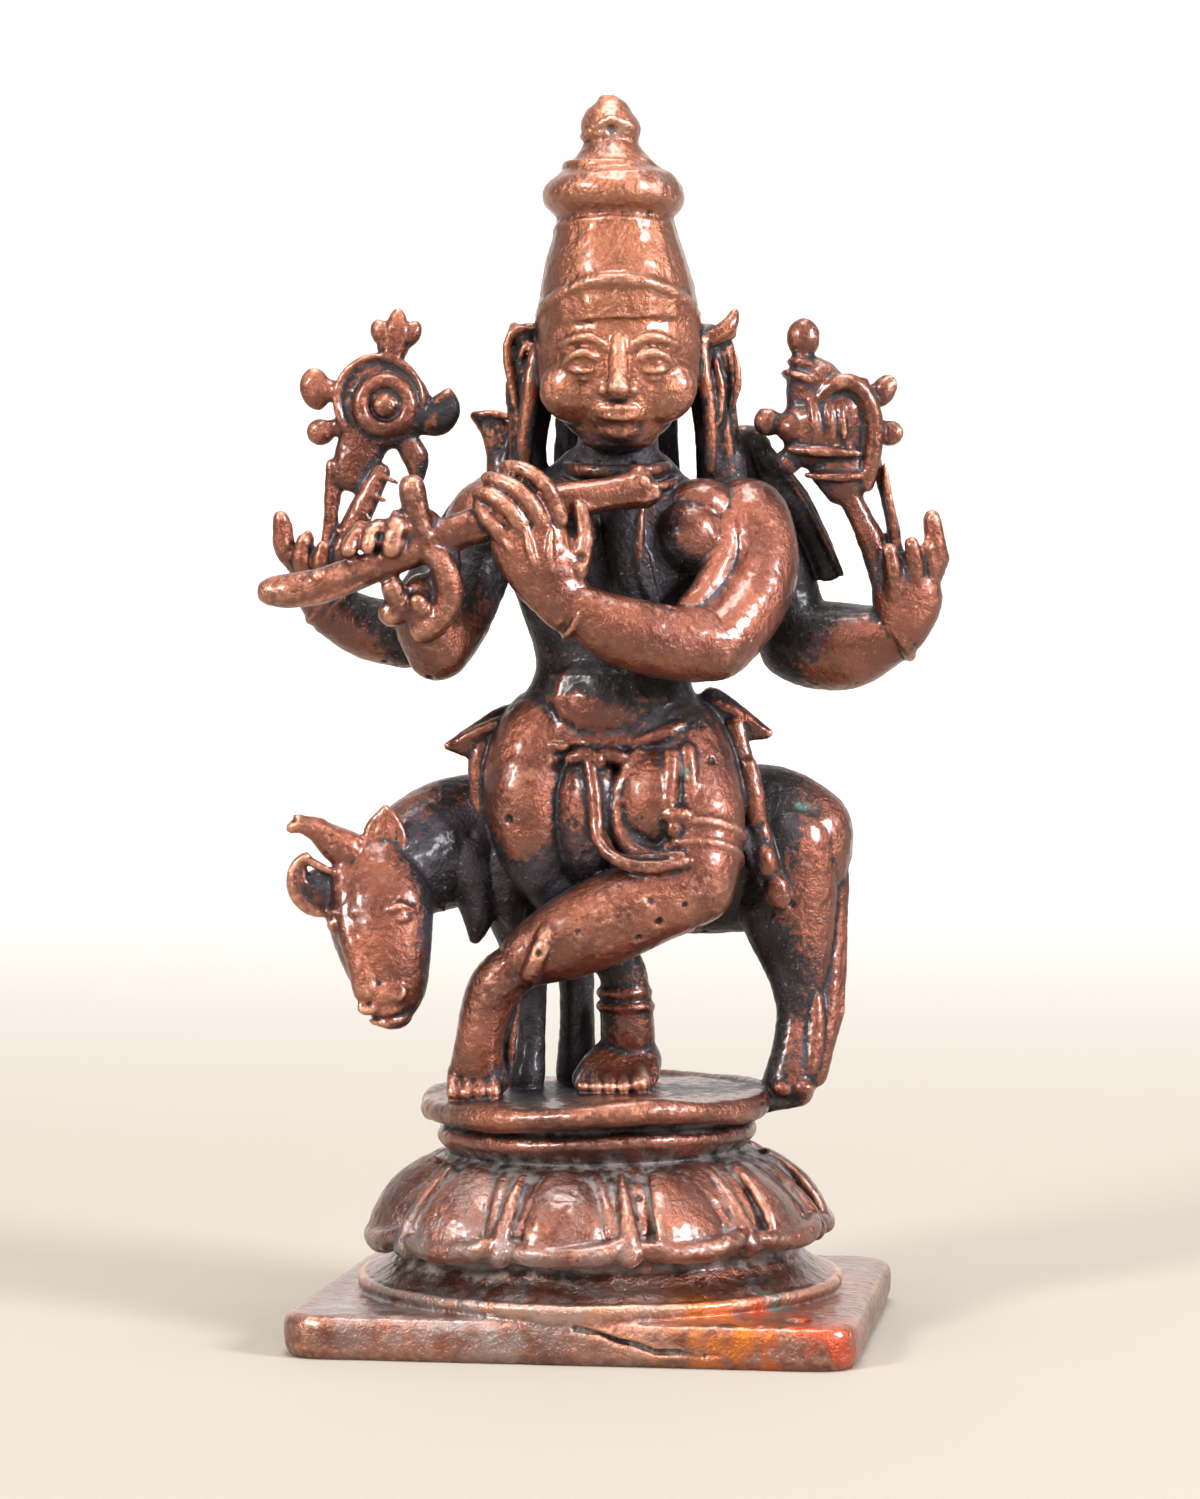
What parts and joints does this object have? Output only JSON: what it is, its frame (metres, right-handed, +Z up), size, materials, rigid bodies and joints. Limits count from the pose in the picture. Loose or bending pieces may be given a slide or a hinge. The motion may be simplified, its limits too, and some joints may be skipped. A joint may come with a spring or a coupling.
{
  "type": "krishna figure",
  "caption": "Small copper casting of a flute player with two pairs of arms, standing cross-legged before a cow on a round lotus plinth with a square plate.",
  "frame": {"origin": "middle of the base plate's underside", "axes": "+Z up to the tip of the crown, -Y towards the viewer whom the figure faces, +X to that viewer's right"},
  "size_m": [0.0342, 0.0272, 0.0616],
  "materials": {
    "copper": "cast copper, rubbed bright on the high parts and nearly black in the hollows, with a fine casting grain"
  },
  "bodies": {
    "root": {"flute_player_with_cow": "copper"}
  },
  "joints": []
}
